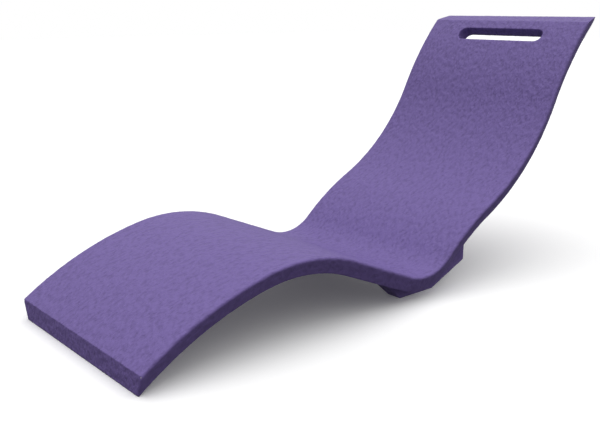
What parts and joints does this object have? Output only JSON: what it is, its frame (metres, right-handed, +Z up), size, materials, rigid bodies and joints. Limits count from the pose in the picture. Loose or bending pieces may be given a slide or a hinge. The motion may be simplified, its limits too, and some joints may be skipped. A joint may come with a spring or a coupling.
{
  "type": "foam pool chaise lounger",
  "caption": "S-shaped vinyl-coated foam chaise with knee arch, seat hollow, raised back, two base rails and a head-end hand slot.",
  "frame": {"origin": "on the floor, at the middle of the overall length and width", "axes": "+X from the foot end to the head end, +Z up, +Y across the board"},
  "size_m": [1.8327, 0.664, 0.8335],
  "materials": {
    "vinyl_coat": "matte, crumpled leathery relief, sprayed vinyl",
    "soft_foam": "closed-cell foam, fine pores",
    "firm_foam": "firm closed-cell foam",
    "glass_fibre": "glass-fibre laminate, laid up in its bent shape",
    "strap_metal": "mill-finish sheet",
    "rivet_metal": "plain"
  },
  "bodies": {
    "root": {"board_skin": "vinyl_coat", "rail_skin_left": "vinyl_coat", "rail_skin_right": "vinyl_coat", "top_foam": "soft_foam", "core_foam": "firm_foam", "rail_foam_left": "firm_foam", "rail_foam_right": "firm_foam", "stiffener_bar_left": "glass_fibre", "stiffener_bar_right": "glass_fibre", "cross_strap_1": "strap_metal", "cross_strap_2": "strap_metal", "cross_strap_3": "strap_metal", "cross_strap_4": "strap_metal", "rivets": "rivet_metal"}
  },
  "joints": []
}
